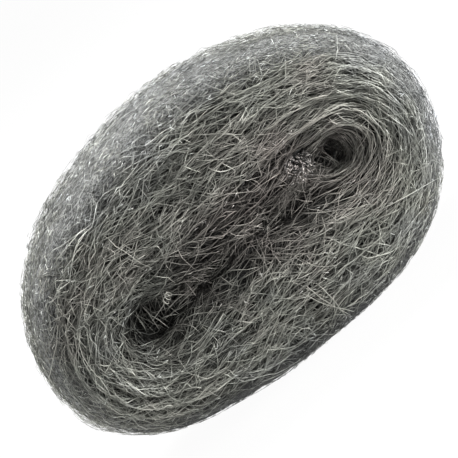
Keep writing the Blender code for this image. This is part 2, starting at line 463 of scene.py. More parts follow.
def tubes(points, radius, twist, tone):
    """Closed three-sided tubes along paths, thinning to their ends, as arrays for one mesh.

    Each path has a direction at every point. The tube's ring stands square to it, and turns
    by the fibre's twist. Returns vertices, side faces, end faces and the shade of each vertex.
    """
    count, stations, _ = points.shape
    direction = unit(np.gradient(points, axis=1))
    along_y = np.abs(direction[..., 1:2]) >= NEAR_Y
    side = unit(np.cross(direction, np.where(along_y, (1.0, 0.0, 0.0), (0.0, 1.0, 0.0))))
    other = np.cross(direction, side)
    share = np.linspace(0.0, 1.0, stations)
    taper = np.clip(np.minimum(share, 1 - share) * TAPER_RATE + TAPER_FROM, 0.0, 1.0)
    turned = (twist[:, None] + np.arange(SIDES) * (2 * np.pi / SIDES))[:, None, :, None]
    ring = np.cos(turned) * side[:, :, None] + np.sin(turned) * other[:, :, None]
    size = (radius[:, None] * taper)[..., None, None]
    vertices = (points[:, :, None] + ring * size).reshape(-1, 3)
    base = (np.arange(count) * stations * SIDES)[:, None, None]
    row = base + (np.arange(stations - 1) * SIDES)[None, :, None]
    corner = np.arange(SIDES)[None, None, :]
    after = (corner + 1) % SIDES
    quads = [row + corner, row + after, row + SIDES + after, row + SIDES + corner]
    quads = np.stack(quads, axis=-1).reshape(-1, 4)
    first = np.arange(count)[:, None] * stations * SIDES
    last = first + (stations - 1) * SIDES
    ends = np.concatenate([first + [[2, 1, 0]], last + [[0, 1, 2]]])
    return vertices, quads, ends, np.repeat(tone, SIDES, axis=1).ravel()


STRIP_MARGIN = 0.1
STRIP_SPAN = 0.8


def strip_uvs(count, stations, quads, ends):
    """One upright strip of the UV square for each fibre: its length up, its three sides across."""
    columns = int(math.ceil(math.sqrt(count)))
    rows = int(math.ceil(count / columns))

    def uv_of(vertex, across):
        fibre = vertex // (stations * SIDES)
        station = (vertex % (stations * SIDES)) // SIDES
        u = (fibre % columns + STRIP_MARGIN + STRIP_SPAN * across / SIDES) / columns
        v = (fibre // columns + STRIP_MARGIN + STRIP_SPAN * station / (stations - 1)) / rows
        return np.stack([u, v], axis=-1)

    corner = quads[:, 0] % SIDES
    across = np.stack([corner, corner + 1, corner + 1, corner], axis=-1)
    quad_uvs = uv_of(quads, across).reshape(-1, 2)
    end_uvs = uv_of(ends, np.array([[0.2, 0.1, 0.0]]).repeat(len(ends), axis=0)).reshape(-1, 2)
    return np.concatenate([quad_uvs, end_uvs])


def add_mesh(name, vertices, faces, material):
    """One smooth object at the origin, from vertices and a list of face arrays."""
    mesh = bpy.data.meshes.new(name)
    loops = np.concatenate([face.ravel() for face in faces])
    sizes = np.concatenate([np.full(len(face), face.shape[1]) for face in faces])
    mesh.vertices.add(len(vertices))
    mesh.vertices.foreach_set("co", np.asarray(vertices, np.float32).ravel())
    mesh.loops.add(len(loops))
    mesh.loops.foreach_set("vertex_index", loops.astype(np.int32))
    mesh.polygons.add(len(sizes))
    starts = np.concatenate([[0], np.cumsum(sizes)[:-1]])
    mesh.polygons.foreach_set("loop_start", starts.astype(np.int32))
    mesh.polygons.foreach_set("loop_total", sizes.astype(np.int32))
    mesh.update(calc_edges=True)
    mesh.polygons.foreach_set("use_smooth", np.full(len(sizes), True))
    mesh.materials.append(material)
    thing = bpy.data.objects.new(name, mesh)
    bpy.context.scene.collection.objects.link(thing)
    return thing


WARM_MIDDLE = (0.008, 0.003)
WARM_REACH = (0.024, 0.013)
COOL_FROM = 0.034
COOL_TO = 0.048
COOL_AT_TOP = 0.6
TOP_COOL_FROM = 0.018


def cast_at(points):
    """The wool's cast by place: 1 is warm, in the middle, 0 cool, at the +X end, 0.5 neither."""
    from_middle = (points[:, [0, 2]] - (SHIFT, GROUND) - WARM_MIDDLE) / WARM_REACH
    warm = np.exp(-((from_middle**2).sum(axis=1)))
    to_end = np.clip((points[:, 0] - COOL_FROM) / (COOL_TO - COOL_FROM), 0.0, 1.0)
    to_top = COOL_AT_TOP * np.clip(np.abs(points[:, 2] - GROUND) / TOP_COOL_FROM - 1, 0.0, 1.0)
    return 0.5 + 0.5 * warm - 0.5 * np.maximum(to_end, to_top)


FIBRE_GROUND = 0.0002


def add_fibres(name, groups, material):
    """One piece from several groups of fibres, each (points, radius, twist, tone)."""
    stations = groups[0][0].shape[1]
    count = sum(len(points) for points, _, _, _ in groups)
    made = []
    offset = 0
    for points, radius, twist, tone in groups:
        vertices, quads, ends, shade = tubes(set_down(points, FIBRE_GROUND), radius, twist, tone)
        made.append((vertices, quads + offset, ends + offset, shade))
        offset += len(vertices)
    vertices, quads, ends, shade = (np.concatenate(arrays) for arrays in zip(*made))
    vertices[:, 2] = np.maximum(vertices[:, 2], 0.0)
    thing = add_mesh(name, vertices, [quads, ends], material)
    for attribute, values in (("tone", shade), ("cast", cast_at(vertices))):
        data = thing.data.attributes.new(attribute, "FLOAT", "POINT").data
        data.foreach_set("value", values.astype(np.float32))
    uvs = thing.data.uv_layers.new(name="OFBake")
    uvs.data.foreach_set("uv", strip_uvs(count, stations, quads, ends).ravel().astype(np.float32))
    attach(thing, "root")


# Materials


def new_material(name):
    """A material with its node tree's nodes and links and its principled shader."""
    material = bpy.data.materials.new(name)
    material.use_nodes = True
    nodes, links = material.node_tree.nodes, material.node_tree.links
    return material, nodes, links, nodes["Principled BSDF"]


def colour_ramp(nodes, places):
    """A ramp of two colours, given as (position, colour) pairs."""
    ramp = nodes.new("ShaderNodeValToRGB")
    for element, (position, colour) in zip(ramp.color_ramp.elements, places):
        element.position = position
        element.color = colour
    return ramp


COOL_TINT = (0.87, 0.915, 1.0, 1)
PLAIN_TINT = (0.965, 1.0, 0.955, 1)
WARM_TINT = (1.0, 0.935, 0.92, 1)
CAST_UNEVEN = 0.9
CAST_SCALE = 120.0


def cast_group():
    """The wool's cast, as a group that tints a colour in broad, uneven patches.

    The piece's own cast is raised or lowered by a coarse noise, and the sum picks a tint from
    cool over plain to warm, which the colour is multiplied by.
    """
    tree = bpy.data.node_groups.new("wool_cast", "ShaderNodeTree")
    tree.interface.new_socket("Steel", in_out="INPUT", socket_type="NodeSocketColor")
    tree.interface.new_socket("Tinted Steel", in_out="OUTPUT", socket_type="NodeSocketColor")
    nodes, links = tree.nodes, tree.links
    steel = nodes.new("NodeGroupInput")
    tinted = nodes.new("NodeGroupOutput")
    where = nodes.new("ShaderNodeTexCoord")
    patch = nodes.new("ShaderNodeTexNoise")
    patch.inputs["Scale"].default_value = CAST_SCALE
    patch.inputs["Detail"].default_value = 3.0
    links.new(where.outputs["Object"], patch.inputs["Vector"])
    place = nodes.new("ShaderNodeAttribute")
    place.attribute_name = "cast"
    uneven = nodes.new("ShaderNodeMath")
    uneven.operation = "MULTIPLY_ADD"
    uneven.inputs[1].default_value = CAST_UNEVEN
    links.new(patch.outputs["Fac"], uneven.inputs[0])
    links.new(place.outputs["Fac"], uneven.inputs[2])
    centre = nodes.new("ShaderNodeMath")
    centre.operation = "SUBTRACT"
    centre.inputs[1].default_value = CAST_UNEVEN / 2
    links.new(uneven.outputs[0], centre.inputs[0])
    tints = colour_ramp(nodes, ((0.0, COOL_TINT), (1.0, WARM_TINT)))
    tints.color_ramp.elements.new(0.5).color = PLAIN_TINT
    links.new(centre.outputs[0], tints.inputs["Fac"])
    product = nodes.new("ShaderNodeMix")
    product.data_type = "RGBA"
    product.blend_type = "MULTIPLY"
    product.inputs["Factor"].default_value = 1.0
    links.new(steel.outputs["Steel"], product.inputs["A"])
    links.new(tints.outputs["Color"], product.inputs["B"])
    links.new(product.outputs["Result"], tinted.inputs["Tinted Steel"])
    return tree


def steel(name, cast, darkest, brightest):
    """Drawn steel: each fibre's tone, which holds painted light and shade, between two colours, tinted
    by the wool's cast.
    """
    material, nodes, links, shader = new_material(name)
    tone = nodes.new("ShaderNodeAttribute")
    tone.attribute_name = "tone"
    ramp = colour_ramp(nodes, ((0.0, darkest), (1.0, brightest)))
    links.new(tone.outputs["Fac"], ramp.inputs["Fac"])
    tinted = nodes.new("ShaderNodeGroup")
    tinted.node_tree = cast
    links.new(ramp.outputs["Color"], tinted.inputs["Steel"])
    links.new(tinted.outputs["Tinted Steel"], shader.inputs["Base Color"])
    return material, shader


def steel_fibre(cast):
    """The bright drawn steel of the fibres' sides."""
    material, shader = steel("steel_fibre", cast, (0.008, 0.008, 0.0075, 1), (0.60, 0.59, 0.55, 1))
    shader.inputs["Metallic"].default_value = 0.7
    shader.inputs["Roughness"].default_value = 0.5
    return material


def painted_glint_steel(cast):
    """Steel painted far brighter than the fibres, as painted glints, for short glints and cut ends."""
    material, shader = steel("painted_glint_steel", cast, (0.02, 0.02, 0.02, 1), (1.0, 1.0, 0.98, 1))
    shader.inputs["Metallic"].default_value = 0.3
    shader.inputs["Roughness"].default_value = 0.35
    return material


def painted_shade_wool():
    """The mass under the loose fibres, painted dark as painted shade, streaked along the lay with finer
    ones.

    A noise stretched along the turns picks a colour from a dark ramp or, where painted light is
    set, from a brighter one, and raises the same streaks as a bump.
    """
    material, nodes, links, shader = new_material("painted_shade_wool")
    where = nodes.new("ShaderNodeUVMap")
    where.uv_map = "lay"
    stretch = nodes.new("ShaderNodeMapping")
    stretch.inputs["Scale"].default_value = (300.0, 650.0, 1.0)
    links.new(where.outputs["UV"], stretch.inputs["Vector"])
    streak = nodes.new("ShaderNodeTexNoise")
    streak.inputs["Scale"].default_value = 1.0
    streak.inputs["Detail"].default_value = 3.0
    streak.inputs["Roughness"].default_value = 0.7
    streak.inputs["Distortion"].default_value = 0.6
    links.new(stretch.outputs["Vector"], streak.inputs["Vector"])
    # painted shade: the near-black ramp for the wool between the fibres
    ramp = colour_ramp(nodes, ((0.48, (0.004, 0.004, 0.004, 1)), (0.72, (0.10, 0.10, 0.098, 1))))
    links.new(streak.outputs["Fac"], ramp.inputs["Fac"])
    # painted light: the brighter ramp for the wrap and the brighter pocket
    pale_places = ((0.45, (0.034, 0.035, 0.035, 1)), (0.58, (0.34, 0.35, 0.34, 1)))
    pale_ramp = colour_ramp(nodes, pale_places)
    links.new(streak.outputs["Fac"], pale_ramp.inputs["Fac"])
    painted_light = nodes.new("ShaderNodeAttribute")
    painted_light.attribute_name = "painted_light"
    both = nodes.new("ShaderNodeMix")
    both.data_type = "RGBA"
    links.new(painted_light.outputs["Fac"], both.inputs["Factor"])
    links.new(ramp.outputs["Color"], both.inputs["A"])
    links.new(pale_ramp.outputs["Color"], both.inputs["B"])
    links.new(both.outputs["Result"], shader.inputs["Base Color"])
    bump = nodes.new("ShaderNodeBump")
    bump.inputs["Strength"].default_value = 0.8
    bump.inputs["Distance"].default_value = 0.0006
    links.new(streak.outputs["Fac"], bump.inputs["Height"])
    links.new(bump.outputs["Normal"], shader.inputs["Normal"])
    shader.inputs["Metallic"].default_value = 0.2
    shader.inputs["Roughness"].default_value = 0.75
    return material


# Pieces


# How thinly the fibres lie by the core, as (band, share) places, and the grid of the areas.
THINNING = ((-0.5, 1.0), (-0.1, 0.45), (0.12, 0.5), (0.30, 1.0))
AREA_BANDS = 200
AREA_TURNS = 48


def scatter(rng, count, low, high):
    """Turns and bands spread over the area of the bands from low to high, thinly by the core."""
    grid = np.linspace(low, high, AREA_BANDS)
    turn = np.linspace(0.0, 1.0, AREA_TURNS, endpoint=False)
    _, along, across, _ = sheet_frame(*np.meshgrid(turn, grid, indexing="ij"))
    area = np.linalg.norm(np.cross(along, across), axis=-1).mean(axis=0)
    area = area * np.interp(inward_of(grid), *zip(*THINNING))
    total = np.concatenate([[0.0], np.cumsum((area[1:] + area[:-1]) / 2)])
    band = np.interp(rng.uniform(0.0, total[-1], count), total, grid)
    return rng.uniform(0.0, 1.0, count), band


UNTIDY = (((-0.025, 0.003), (0.013, 0.010), 1.7), ((0.008, 0.001), (0.013, 0.006), 1.1))
CALM_PLACE = (0.035, 0.006)
CALM_REACH = (0.018, 0.022)
CALM = 0.45
LOFTED_DULLER = 0.35

# The powers of the light by nearness to the core, for the deepest fibres and the topmost ones.
LIGHT_POWERS = (2.2, 0.55)

# How far the fibres of a group differ. A pair is a spread and the most that it may come to.
START_SCATTER = 0.35
WIDE_TURN = 0.7
LENGTH_SPREAD = (0.35, 0.45)
DEPTH_SPREAD = 0.00018
THICK_SPREAD = (0.25, 0.3)
LEAST_TONE = 0.01


def factors(rng, spread, most, count):
    """Random factors about 1: powers of e, with the given spread and largest power."""
    return np.exp(np.minimum(rng.normal(0.0, spread, count), most))


def lay_fibres(rng, count, bands, depth, lay):
    """One group of fibres over some bands, laid lock by lock, and how they are made up.

    The fibres of a lock share a start, a heading, a bow and a depth, each a little off its
    neighbours', so a lock splits and closes along its length. Some fibres run wide of the turn
    and a few stand loose, at an end or in a loop. The deeper a fibre lies, the darker it is
    painted, as painted shade, and loose fibres are painted darker too. The light of the wool by
    place is painted into each fibre's tone, with painted glints along it.
    """
    steps = lay["steps"]
    of = np.arange(count) // lay["lock"]
    locks = of[-1] + 1
    turn, band = scatter(rng, locks, *bands)
    if "turn_reach" in lay:
        turn = rng.normal(0.0, lay["turn_reach"], locks)
    point, along, across, _ = sheet_frame(turn, band)
    length = lay["length"]
    untidy = sum(share * soft_oval(point, middle, reach) for middle, reach, share in UNTIDY)
    untidy = 1 + untidy * (point[:, 1] < 0)
    calm = 1 - CALM * soft_oval(point, CALM_PLACE, CALM_REACH)
    off_along = rng.normal(0.0, START_SCATTER, count) * length / np.linalg.norm(along, axis=-1)[of]
    off_across = rng.normal(0.0, lay["lock_width"], count) / np.linalg.norm(across, axis=-1)[of]
    start = np.clip(band[of] + off_across, BANDS[0], BANDS[-1])
    heading = rng.normal(0.0, lay["spread"], locks)[of] + rng.normal(0.0, lay["stray"], count)
    heading = heading * (untidy * calm)[of]
    is_wide = rng.uniform(size=count) < lay["wide"]
    heading = heading + is_wide * rng.normal(0.0, WIDE_TURN, count)
    heading = heading + np.pi * (rng.uniform(size=count) < 0.5)
    lengths = length * factors(rng, *LENGTH_SPREAD, count)
    bends = fibre_bends(rng, of, steps, lay) * calm[of][:, None]
    deep = rng.uniform(depth[0], depth[1], locks)[of] + rng.normal(0.0, DEPTH_SPREAD, count)
    waver = centred(rng.normal(0.0, lay["ripple"], (count, steps + 1)))
    share = np.linspace(0.0, 1.0, steps + 1)
    is_free = rng.uniform(size=(count, 3)) < lay["loose"]
    free = is_free * rng.uniform(0.0, lay["loft"], (count, 3))
    lift = free[:, :1] * (1 - share) ** 3 + free[:, 1:2] * share**3
    lift = lift + free[:, 2:] * 4 * share * (1 - share)
    height = deep[:, None] + waver + lift
    points, light = walk((turn[of] + off_along, start), heading, lengths, bends, height)
    radius = lay["thick"] * factors(rng, *THICK_SPREAD, count)
    twist = rng.uniform(0.0, 2 * np.pi, count)
    # painted shade: the deeper a fibre lies, the darker its tone
    bright = np.clip(1 - deep / DEEPEST, 0.0, 1.0) ** BRIGHT_POWER
    own = np.minimum(rng.normal(0.0, lay["contrast"], count), lay["cap"])
    # painted glints: the tone rises and falls at random along each fibre
    glint = rng.normal(0.0, lay["glint"], (count, steps + 1))
    tone = mix(lay["dull"], lay["bright"], bright)[:, None] * np.exp(own[:, None] + glint)
    # painted shade: lofted fibres, which the lamps light more, are painted darker
    tone = tone * (1 - LOFTED_DULLER * np.clip(lift / lay["loft"], 0.0, 1.0))
    # painted light and shade: the light by nearness to the core, by hollow, by patch and on the
    # underside is multiplied into the tone
    light = light[0] ** mix(*LIGHT_POWERS, bright)[:, None] * light[1]
    return points, radius, twist, np.clip(tone * light, LEAST_TONE, lay["most"])


# The dark body's depth under the surface and how far it closes, as (band, value) places.
UNDER_THE_FIBRES = ((-0.55, 0.0), (-0.15, 0.0024), (0.85, 0.0024), (1.05, 0.0012))
CLOSING = ((-1.0, 1.0), (-0.55, 0.0))
BODY_TURNS = 160
BODY_BANDS = 97
BODY_GROUND = 0.0004
PALE_BANDS = (0.9, 1.1)
BODY_NEARER_BELOW = 0.8
DARKER_BELOW = 0.7


def deep_core():
    """The body in painted shade: the surface drawn inwards, as a closed ring through the core's hole.

    Halfway through the roll the walls of the core close in on the slit's own line, because the
    pockets are full of loose wool there. It is painted paler on the wrap and in the brighter
    pocket, as painted light, and less so where the wrap faces the ground, as painted shade.
    """
    turns = np.linspace(0.0, 1.0, BODY_TURNS, endpoint=False)
    bands = np.linspace(BANDS[0], BANDS[-1], BODY_BANDS)
    turn, band = np.meshgrid(turns, bands, indexing="ij")
    point, _, _, normal = sheet_frame(turn, band)
    inward = inward_of(band)
    facing_down = underside(normal) * (inward > PALE_BANDS[0])
    depth = np.interp(inward, *zip(*UNDER_THE_FIBRES)) * (1 - BODY_NEARER_BELOW * facing_down)
    rise = lay_height(turn, band, point)
    rise = rise - UNDERSIDE_PRESSED * facing_down * np.maximum(rise, 0.0) - depth
    drawn = point + normal * rise[..., None]
    on_slit = np.clip(drawn[..., 0], -POCKET_MIDDLE, POCKET_MIDDLE)
    line = np.stack([on_slit, drawn[..., 1], 0 * rise], axis=-1)
    closed = np.interp(inward, *zip(*CLOSING))[..., None]
    vertices = set_down(mix(drawn, line, closed), BODY_GROUND).reshape(-1, 3)
    i, j = np.meshgrid(np.arange(BODY_TURNS), np.arange(BODY_BANDS), indexing="ij")
    here, beside = i * BODY_BANDS, (i + 1) % BODY_TURNS * BODY_BANDS
    after = (j + 1) % BODY_BANDS
    quads = np.stack([here + j, beside + j, beside + after, here + after], axis=-1)
    thing = add_mesh("painted_shade_wool_body", vertices, [quads.reshape(-1, 4)], painted_shade_wool())
    u = np.stack([i, i + 1, i + 1, i], axis=-1) / BODY_TURNS
    v = np.stack([j, j, j + 1, j + 1], axis=-1) / BODY_BANDS
    lay = thing.data.uv_layers.new(name="lay")
    lay.data.foreach_set("uv", np.stack([u, v], axis=-1).ravel().astype(np.float32))
    # painted light on the wrap and in the brighter pocket, less where the wrap faces the ground as
    # painted shade
    in_pocket = soft_oval(point, BRIGHT_POCKET, BRIGHT_POCKET_REACH) * (inward < 0)
    on_wrap = np.interp(inward, PALE_BANDS, (0.0, 1.0)) * (1 - DARKER_BELOW * facing_down)
    painted_light = np.maximum(on_wrap, in_pocket)
    attribute = thing.data.attributes.new("painted_light", "FLOAT", "POINT")
    attribute.data.foreach_set("value", painted_light.ravel().astype(np.float32))
    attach(thing, "root")
    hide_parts("wool_roll")


END_LAY = dict(
    steps=6,
    length=0.0100,
    lock=3,
    lock_width=0.0010,
    spread=0.25,
    stray=0.19,
    wide=0.15,
    bow=0.34,
    wobble=0.13,
    kinks=1.5,
    ripple=0.00010,
    loose=0.06,
    loft=0.0009,
    thick=0.000074,
    dull=0.04,
    bright=0.78,
    contrast=0.30,
    glint=0.30,
    cap=0.42,
    most=0.82,
)
WRAP_LAY = dict(
    END_LAY,
    most=1.0,
    steps=2,
    length=0.0024,
    lock=2,
    spread=0.40,
    stray=0.45,
    wide=0.35,
    thick=0.000050,
    loose=0.10,
    loft=0.0003,
    dull=0.16,
    bright=0.60,
    contrast=0.50,
)
WRAP_OVER_LAY = dict(
    WRAP_LAY, length=0.0020, thick=0.000056, contrast=0.60, glint=0.50, cap=1.2, bright=0.50
)
GLINT_LAY = dict(WRAP_LAY, steps=1, length=0.0008, thick=0.00009, contrast=0.45, bright=1.0)
POCKET_LAY = dict(END_LAY, length=0.0080, spread=0.15, stray=0.12, wide=0.10, turn_reach=0.05)
DEEPEST = -0.0026
BRIGHT_POWER = 2.75


FRONT_TURNS = 240
FRONT_BANDS = 60
FRONT_END = 1.2


def front_of(x, z):
    """How far forward (y) the front wound end stands at each x and z: its nearest sample's."""
    turns = np.linspace(0.0, 1.0, FRONT_TURNS, endpoint=False)
    bands = np.linspace(0.0, FRONT_END, FRONT_BANDS)
    samples = sheet_point(*np.meshgrid(turns, bands)).reshape(-1, 3)
    away = (x[..., None] - samples[:, 0]) ** 2 + (z[..., None] - samples[:, 2]) ** 2
    return samples[np.argmin(away, axis=-1), 1]


SLIT_SPREAD = 0.0019
BUNDLE = 4
SLIT_SINK = 0.45
CORE_REACH = 0.027

# How far the slit's fibres differ from each other.
SLIT_LAY = dict(
    off_x=0.0007,
    off_z=0.0004,
    stray=0.2,
    uneven=0.3,
    bow=0.5,
    wobble=0.16,
    tilt=0.15,
    contrast=0.35,
    thinner=0.2,
)


def slit_fibres(rng, count, span, depth, length, spread, tones):
    """Fibres that cross the slit and its pockets in small bundles, near its line.

    They lie over a span of x and between two depths. They are walked in the plane of the wound
    end, and each keeps its own depth behind it. The tones are the front ones' and the deepest's:
    deeper fibres are painted darker, as painted shade.
    """
    lay = SLIT_LAY
    steps = END_LAY["steps"]
    of = np.arange(count) // BUNDLE
    bundles = of[-1] + 1
    x = rng.uniform(span[0], span[1], bundles)[of] + rng.normal(0.0, lay["off_x"], count)
    z = rng.normal(0.0, SLIT_SPREAD, bundles)[of] + rng.normal(0.0, lay["off_z"], count)
    heading = rng.normal(0.0, spread, bundles)[of] + rng.normal(0.0, lay["stray"], count)
    heading = heading + np.pi * (rng.uniform(size=count) < 0.5)
    stride = length * np.exp(rng.normal(0.0, lay["uneven"], count)) / steps
    bends = rng.normal(0.0, lay["bow"], count)[:, None] * np.linspace(-0.5, 0.5, steps + 1)
    bends = bends + centred(rng.normal(0.0, lay["wobble"], (count, steps + 1)))
    now = heading[:, None] + bends
    along = np.cumsum(np.cos(now) * stride[:, None], axis=1)
    up = np.cumsum(np.sin(now) * stride[:, None], axis=1)
    x = x[:, None] + along - along.mean(axis=1, keepdims=True)
    z = z[:, None] + up - up.mean(axis=1, keepdims=True)
    middle = np.stack([x[:, steps // 2], 0 * x[:, 0], z[:, steps // 2]], axis=-1)
    deep = rng.uniform(depth[0], depth[1], count) + SLIT_SINK * deepest_of(middle, FRONT_HOLLOWS)
    from_middle = (np.arange(steps + 1) - steps / 2) * stride[:, None]
    tilt = rng.normal(0.0, lay["tilt"], count)[:, None] * from_middle
    half = steps // 2
    front = front_of(x[:, ::half], z[:, ::half]).max(axis=1)
    points = np.stack([x, (front + deep)[:, None] + tilt, z], axis=-1)
    share = np.clip(deep / depth[1], 0.0, 1.0)
    tone = mix(*tones, share) * np.exp(rng.normal(0.0, lay["contrast"], count))
    radius = END_LAY["thick"] * np.exp(rng.normal(0.0, lay["thinner"], count))
    twist = rng.uniform(0, 2 * np.pi, count)
    return points, radius, twist, np.clip(tone, LEAST_TONE, 1.0)[:, None] + 0 * x


CUT_PLACE = (START_PLACE[0] - 0.0008, START_PLACE[1] - 0.0008)
CUT_REACH = (0.0036, 0.0031)
CUT_LENGTH = 0.0035
CUT_THICK = 0.00012
CUT_LEAN = 0.18
CUT_DULL_RIM = 0.75
CUT_STATIONS = 4
CUT_SUNK = (0.0002, 0.0014)
CUT_TONE = (-0.2, 0.9)
CUT_FADE = 0.85
CUT_UNEVEN = 0.2
CUT_LEAST_TONE = 0.02


def cut_ends(rng, count):
    """The cut start of the sliver: fibre ends that stand towards the front, in an oval."""
    share = np.linspace(0.0, 1.0, CUT_STATIONS)
    out = np.sqrt(rng.uniform(0.0, 1.0, count))
    angle = rng.uniform(0.0, 2 * np.pi, count)
    x = CUT_PLACE[0] + CUT_REACH[0] * out * np.cos(angle)
    z = CUT_PLACE[1] + CUT_REACH[1] * out * np.sin(angle)
    lean = rng.normal(0.0, CUT_LEAN, (2, count)) * CUT_LENGTH
    tip = front_of(*(np.array([at]) for at in START_PLACE)) + rng.uniform(*CUT_SUNK, count)
    points = np.stack(
        [
            x[:, None] + lean[0][:, None] * share,
            tip[:, None] + CUT_LENGTH * share,
            z[:, None] + lean[1][:, None] * share,
        ],
        axis=-1,
    )
    # each end's tone is darker towards the rim of the oval; along the end it is painted darker back into
    # the wool, as painted shade
    tone = np.exp(rng.normal(*CUT_TONE, count)) * (1 - CUT_DULL_RIM * out**2)
    tone = np.clip(tone[:, None] * (1 - CUT_FADE * share), CUT_LEAST_TONE, 1.0)
    radius = CUT_THICK * np.exp(rng.normal(0.0, CUT_UNEVEN, count))
    return points, radius, rng.uniform(0, 2 * np.pi, count), tone


def through(corners, steps):
    """A smooth path through its corners: a cubic between each two, set by their neighbours."""
    first, last = 2 * corners[:1] - corners[1:2], 2 * corners[-1:] - corners[-2:-1]
    corners = np.concatenate([first, corners, last])
    at = np.linspace(0.0, len(corners) - 3, steps + 1)
    k = np.minimum(at.astype(int), len(corners) - 4)
    f = (at - k)[:, None]
    a, b, c, d = (corners[k + i] for i in range(4))
    return b + 0.5 * f * (c - a + f * (2 * a - 5 * b + 4 * c - d + f * (3 * (b - c) + d - a)))


# Strays that lie loose on the roll, as (turn, band, lift) places from one end to the other.
STRAYS = (
    ((0.855, 0.356, 0.0005), (0.878, 0.446, 0.0016), (0.898, 0.576, 0.0018), (0.915, 0.95, 0.0012)),
    ((0.953, 0.286, 0.0002), (0.956, 0.396, 0.0008), (0.956, 0.521, 0.0004)),
    ((0.023, 0.346, 0.0002), (0.004, 0.291, 0.0008), (0.978, 0.321, 0.0002)),
    ((0.763, 0.486, 0.0001), (0.766, 0.677, 0.0010), (0.773, 0.960, 0.0009)),
    ((0.754, 0.506, 0.0001), (0.763, 0.697, 0.0009), (0.778, 0.960, 0.0010)),
    ((0.773, 0.536, 0.0001), (0.773, 0.702, 0.0008), (0.770, 0.970, 0.0005)),
    ((0.077, 1.128, 0.0003), (0.077, 1.003, 0.0008), (0.078, 0.862, 0.0002)),
    ((0.045, 0.251, 0.0004), (0.060, 0.276, 0.0006), (0.062, 0.226, 0.0006), (0.048, 0.165, 0.0004)),
)
STRAY_THICK = 0.000095
STRAY_TONE = 0.75
STRAY_STEPS = 12
STRAY_WAVER = 0.00005


def strays(rng):
    """The strays of the table, each a smooth path over the wool with a slight waver."""
    points = np.zeros((len(STRAYS), STRAY_STEPS + 1, 3))
    for row, places in enumerate(STRAYS):
        turn, band, lift = (np.array(column) for column in zip(*places))
        point, _, _, normal = sheet_frame(turn, band)
        rise = lay_height(turn, band, point) + lift
        points[row] = through(point + normal * rise[:, None], STRAY_STEPS)
    points += centred(rng.normal(0.0, STRAY_WAVER, points.shape))
    count = len(STRAYS)
    tone = np.full((count, STRAY_STEPS + 1), STRAY_TONE)
    return points, np.full(count, STRAY_THICK), rng.uniform(0, 2 * np.pi, count), tone


CURL_START = (-0.0190, 0.0021)
CURL_END = (-0.0210, 0.0010)
CURL_STEM_END = (-0.0256, -0.0006)
CURL_RADIUS = 0.00068
CURL_TURNS = 2.7
CURL_STEPS = 48
CURL_THICK = 0.000095
CURL_TONE = 0.72
CURL_COILED = 0.75
CURL_FORWARD = 0.75
CURL_PITCHED = 0.66
CURL_PROUD = 0.0006
CURL_STEM_SINKS = 0.0022


def curled_fibre():
    """A fibre end wound into a small coil, on a straight stem that comes out of the pocket."""
    share = np.linspace(0.0, 1.0, CURL_STEPS + 1)
    coiled = np.clip(share / CURL_COILED, 0.0, 1.0)
    angle = 2 * np.pi * CURL_TURNS * coiled
    start, end, stem = (np.array([p[0], 0.0, p[1]]) for p in (CURL_START, CURL_END, CURL_STEM_END))
    front = front_of(np.array([CURL_START[0]]), np.array([CURL_START[1]]))[0]
    axis = (end - start) / np.linalg.norm(end - start)
    side = np.array([axis[2], 0.0, -axis[0]])
    toward = np.array([0.0, -CURL_FORWARD, 0.0]) + CURL_PITCHED * axis
    middle = start + (end - start) * coiled[:, None]
    middle[:, 1] = front - CURL_PROUD
    wide = CURL_RADIUS * np.clip((1 - share) / (1 - CURL_COILED), 0.0, 1.0)
    ring = np.cos(angle)[:, None] * side + np.sin(angle)[:, None] * toward
    out = middle + ring * wide[:, None]
    leave = np.clip((share - CURL_COILED) / (1 - CURL_COILED), 0.0, 1.0)[:, None]
    out = out + (stem - end) * leave
    out[:, 1] += CURL_STEM_SINKS * leave[:, 0]
    tone = np.full((1, CURL_STEPS + 1), CURL_TONE)
    return out[None], np.array([CURL_THICK]), np.array([0.0]), tone


HAZE_LAY = dict(
    WRAP_LAY, steps=5, thick=0.000034, length=0.0050, loose=0.4, loft=0.0004, dull=0.6, bright=0.6
)


